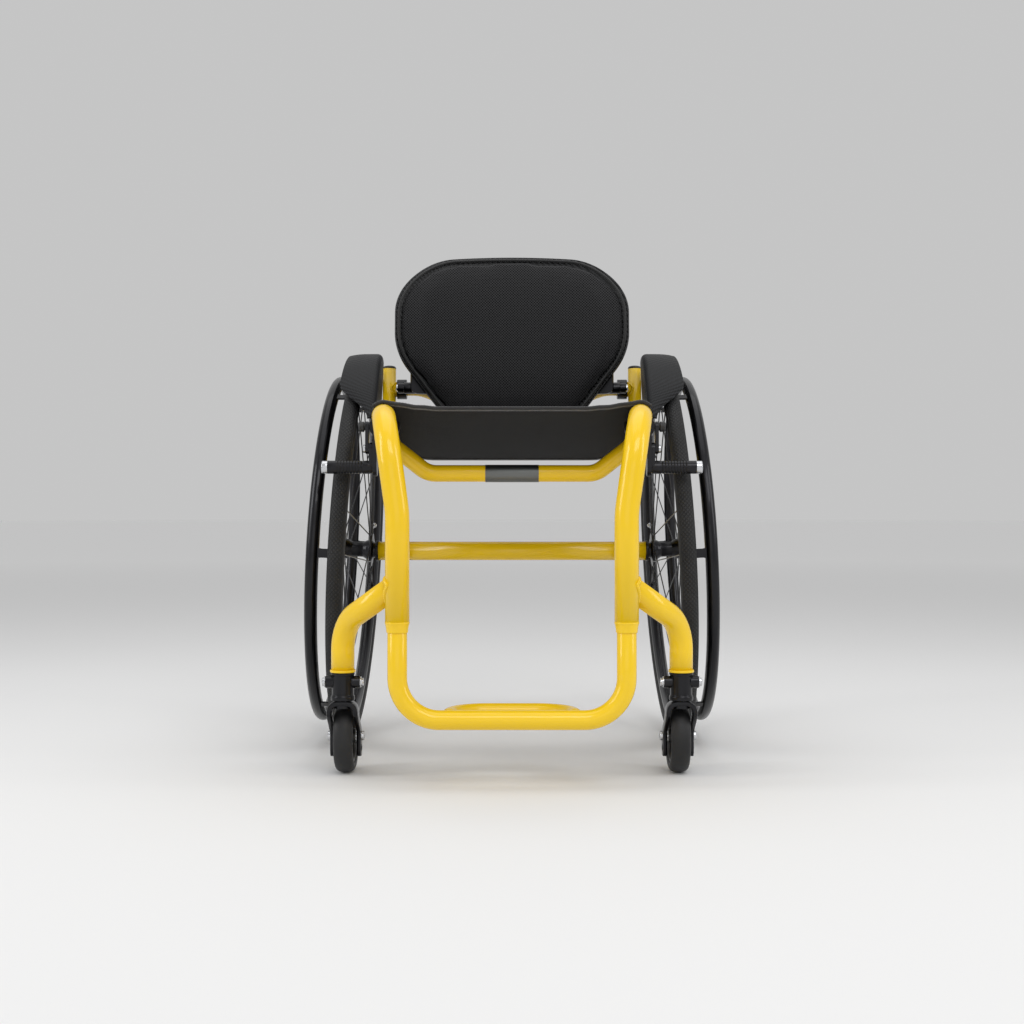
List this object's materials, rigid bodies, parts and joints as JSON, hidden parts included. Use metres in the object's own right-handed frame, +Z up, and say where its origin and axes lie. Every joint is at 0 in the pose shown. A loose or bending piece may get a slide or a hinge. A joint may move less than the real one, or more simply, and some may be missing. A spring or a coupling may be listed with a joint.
{
  "type": "rigid active wheelchair",
  "caption": "Rigid active wheelchair with a bent tube frame, cambered spoked rear wheels, small swivel casters, sling seat and folding shell back.",
  "frame": {"origin": "on the floor, at the middle of the chair's bounding box", "axes": "+Z up, -Y forwards, +X to the occupant's left"},
  "size_m": [0.617, 0.7695, 0.783],
  "materials": {
    "yellow_paint": "gloss",
    "black_anodised": "satin",
    "polished_metal": "polished",
    "carbon_fibre": "gloss",
    "tyre_rubber": "matte",
    "caster_rubber": "matte",
    "black_plastic": "matte",
    "seat_fabric": "matte",
    "back_fabric": "matte"
  },
  "bodies": {
    "frame": {"main_tube_left": "yellow_paint", "main_tube_right": "yellow_paint", "front_cross_tube": "yellow_paint", "caster_arm_left": "yellow_paint", "caster_arm_right": "yellow_paint", "axle_tube": "yellow_paint", "axle_stem_left": "yellow_paint", "axle_stem_right": "yellow_paint", "camber_plug_left": "black_anodised", "camber_plug_right": "black_anodised", "axle_pin_left": "polished_metal", "axle_pin_right": "polished_metal", "back_upright_left": "yellow_paint", "back_upright_right": "yellow_paint", "back_cross_bar": "yellow_paint", "upright_cap_left": "black_plastic", "upright_cap_right": "black_plastic", "rail_cap_left": "black_plastic", "rail_cap_right": "black_plastic", "back_clamp_left": "black_anodised", "back_clamp_right": "black_anodised", "seat_sling": "seat_fabric", "side_guard_left": "carbon_fibre", "side_guard_right": "carbon_fibre", "caster_housing_left": "black_anodised", "caster_housing_right": "black_anodised", "caster_bearing_left": "polished_metal", "caster_bearing_right": "polished_metal", "brake_clamp_left": "black_anodised", "brake_clamp_right": "black_anodised"},
    "footrest": {"footrest_tube": "yellow_paint", "foot_loop": "yellow_paint"},
    "backrest": {"back_shell": "carbon_fibre", "back_pad": "back_fabric", "back_bracket_left": "black_anodised", "back_bracket_right": "black_anodised"},
    "wheel_left": {"tyre_left": "tyre_rubber", "rim_left": "black_anodised", "spoked_hub_left": "black_anodised", "handrim_left": "black_anodised"},
    "button_left": {"axle_button_left": "polished_metal"},
    "fork_left": {"caster_fork_left": "black_anodised", "caster_stem_left": "polished_metal", "caster_axle_left": "polished_metal"},
    "caster_left": {"caster_wheel_left": "black_plastic", "caster_tyre_left": "caster_rubber"},
    "lever_left": {"brake_lever_left": "black_anodised"},
    "shoe_left": {"brake_shoe_left": "black_anodised"},
    "wheel_right": {"tyre_right": "tyre_rubber", "rim_right": "black_anodised", "spoked_hub_right": "black_anodised", "handrim_right": "black_anodised"},
    "button_right": {"axle_button_right": "polished_metal"},
    "fork_right": {"caster_fork_right": "black_anodised", "caster_stem_right": "polished_metal", "caster_axle_right": "polished_metal"},
    "caster_right": {"caster_wheel_right": "black_plastic", "caster_tyre_right": "caster_rubber"},
    "lever_right": {"brake_lever_right": "black_anodised"},
    "shoe_right": {"brake_shoe_right": "black_anodised"}
  },
  "joints": [
    {"name": "footrest_slide", "type": "slide", "parent": "frame", "child": "footrest", "axis": [0, 0, -1], "range_m": [-0.05, 0.03]},
    {"name": "back_fold", "type": "hinge", "parent": "frame", "child": "backrest", "pos_m": [0, 0.11908, 0.566], "axis": [1, 0, 0], "range_deg": [-10, 80]},
    {"name": "wheel_spin_left", "type": "hinge", "parent": "frame", "child": "wheel_left", "pos_m": [0.2485, 0.08123, 0.30312], "axis": [0.9986, 0, 0.0523], "continuous": true},
    {"name": "axle_button_push_left", "type": "slide", "parent": "frame", "child": "button_left", "axis": [-0.9986, 0, -0.0523], "range_m": [0, 0.003], "stiffness_N_per_m": 120, "springref_m": -0.001},
    {"name": "caster_swivel_left", "type": "hinge", "parent": "frame", "child": "fork_left", "pos_m": [0.232, -0.26877, 0.105], "axis": [0, 0, 1], "continuous": true},
    {"name": "caster_spin_left", "type": "hinge", "parent": "fork_left", "child": "caster_left", "pos_m": [0.232, -0.22877, 0.05017], "axis": [1, 0, 0], "continuous": true},
    {"name": "brake_lever_turn_left", "type": "hinge", "parent": "frame", "child": "lever_left", "pos_m": [0.2087, -0.21715, 0.452], "axis": [1, 0, 0], "range_deg": [0, 60]},
    {"name": "brake_shoe_turn_left", "type": "hinge", "parent": "frame", "child": "shoe_left", "pos_m": [0.1986, -0.21715, 0.452], "axis": [1, 0, 0], "range_deg": [0, 21]},
    {"name": "wheel_spin_right", "type": "hinge", "parent": "frame", "child": "wheel_right", "pos_m": [-0.2485, 0.08123, 0.30312], "axis": [-0.9986, 0, 0.0523], "continuous": true},
    {"name": "axle_button_push_right", "type": "slide", "parent": "frame", "child": "button_right", "axis": [0.9986, 0, -0.0523], "range_m": [0, 0.003], "stiffness_N_per_m": 120, "springref_m": -0.001},
    {"name": "caster_swivel_right", "type": "hinge", "parent": "frame", "child": "fork_right", "pos_m": [-0.232, -0.26877, 0.105], "axis": [0, 0, 1], "continuous": true},
    {"name": "caster_spin_right", "type": "hinge", "parent": "fork_right", "child": "caster_right", "pos_m": [-0.232, -0.22877, 0.05017], "axis": [1, 0, 0], "continuous": true},
    {"name": "brake_lever_turn_right", "type": "hinge", "parent": "frame", "child": "lever_right", "pos_m": [-0.2087, -0.21715, 0.452], "axis": [1, 0, 0], "range_deg": [0, 60]},
    {"name": "brake_shoe_turn_right", "type": "hinge", "parent": "frame", "child": "shoe_right", "pos_m": [-0.1986, -0.21715, 0.452], "axis": [1, 0, 0], "range_deg": [0, 21]}
  ],
  "couplings": [
    {"joint": "brake_shoe_turn_left", "follows": "brake_lever_turn_left", "ratio": 0.35},
    {"joint": "brake_shoe_turn_right", "follows": "brake_lever_turn_right", "ratio": 0.35}
  ]
}
